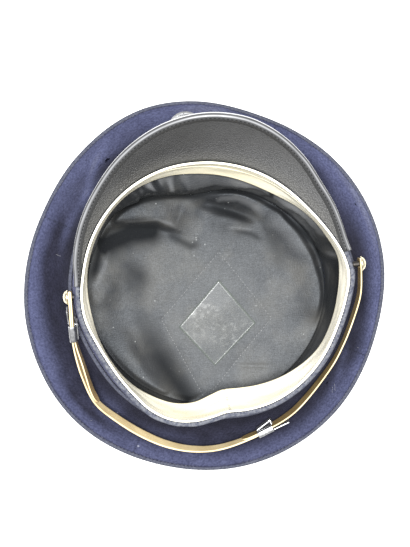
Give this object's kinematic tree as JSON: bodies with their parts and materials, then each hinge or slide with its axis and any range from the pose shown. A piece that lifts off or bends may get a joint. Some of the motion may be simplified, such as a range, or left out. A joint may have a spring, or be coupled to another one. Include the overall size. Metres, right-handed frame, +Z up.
{
  "type": "peaked cap",
  "caption": "Cloth peaked cap lying upside down on its crown, with an upright band, bound peak, leather sweatband, satin lining and a leather chin strap on side buttons.",
  "frame": {"origin": "middle of the cap's box, on the surface that the crown lies on", "axes": "+Z up with the cap lying upside down on its crown, front with the peak towards -Y, wearer's right towards +X"},
  "size_m": [0.2755, 0.2814, 0.1308],
  "materials": {
    "navy_wool": "matte worn wool cloth, navy with a violet cast",
    "dark_cord": "matte covered cord",
    "cream_leather": "smooth cream leather",
    "grey_leather": "fine grained dark grey leather, glossy on the binding",
    "grey_satin": "dark grey satin with a soft sheen",
    "clear_sheet": "clear scuffed sheet",
    "tan_leather": "tan leather with pale worn edges",
    "silver_metal": "bright silver sheet metal",
    "pale_gilt": "pale worn gilt"
  },
  "bodies": {
    "root": {"crown_top": "navy_wool", "crown_quarter_1": "navy_wool", "crown_quarter_2": "navy_wool", "crown_quarter_3": "navy_wool", "crown_quarter_4": "navy_wool", "crown_piping": "dark_cord", "band": "navy_wool", "band_piping": "dark_cord", "sweatband": "cream_leather", "peak": "grey_leather", "peak_binding": "grey_leather", "lining_side": "grey_satin", "lining_tip": "grey_satin", "sweat_shield": "clear_sheet", "cap_badge": "silver_metal", "strap_long": "tan_leather", "strap_short": "tan_leather", "slide_right": "silver_metal", "slide_left": "silver_metal", "button_right": "pale_gilt", "button_left": "pale_gilt"}
  },
  "joints": []
}
